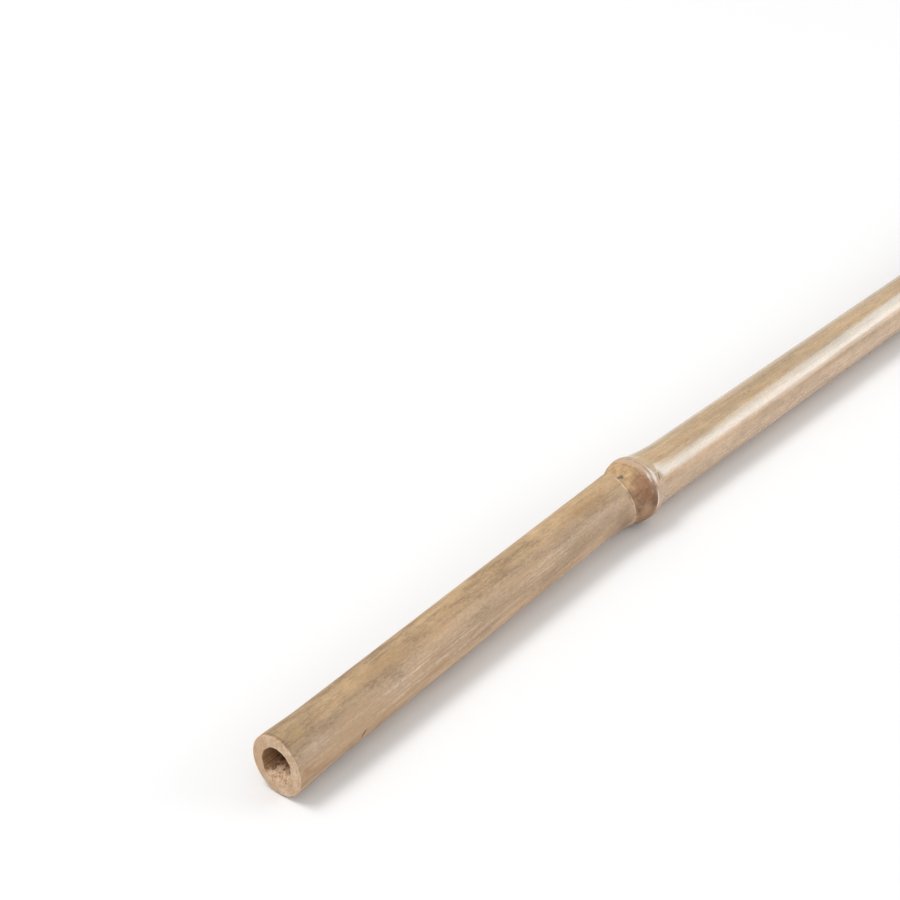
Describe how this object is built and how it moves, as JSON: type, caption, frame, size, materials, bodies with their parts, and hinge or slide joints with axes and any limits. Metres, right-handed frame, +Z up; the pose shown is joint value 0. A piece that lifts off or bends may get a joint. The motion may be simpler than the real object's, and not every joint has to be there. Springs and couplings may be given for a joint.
{
  "type": "bamboo cane",
  "caption": "Dry bamboo garden cane lying on its side: a slender culm with swollen nodes, trimmed branch scars and sawn ends that open into its hollow bore.",
  "frame": {"origin": "bottom centre of the bounding box, on the surface that the cane lies on", "axes": "+X along the cane from its sawn butt to its sawn tip, +Z up"},
  "size_m": [1.2008, 0.0334, 0.0219],
  "materials": {
    "bamboo": "dry bamboo, matte in the butt stretch and waxy above it, pale where it is sawn"
  },
  "bodies": {
    "root": {"cane": "bamboo"}
  },
  "joints": []
}
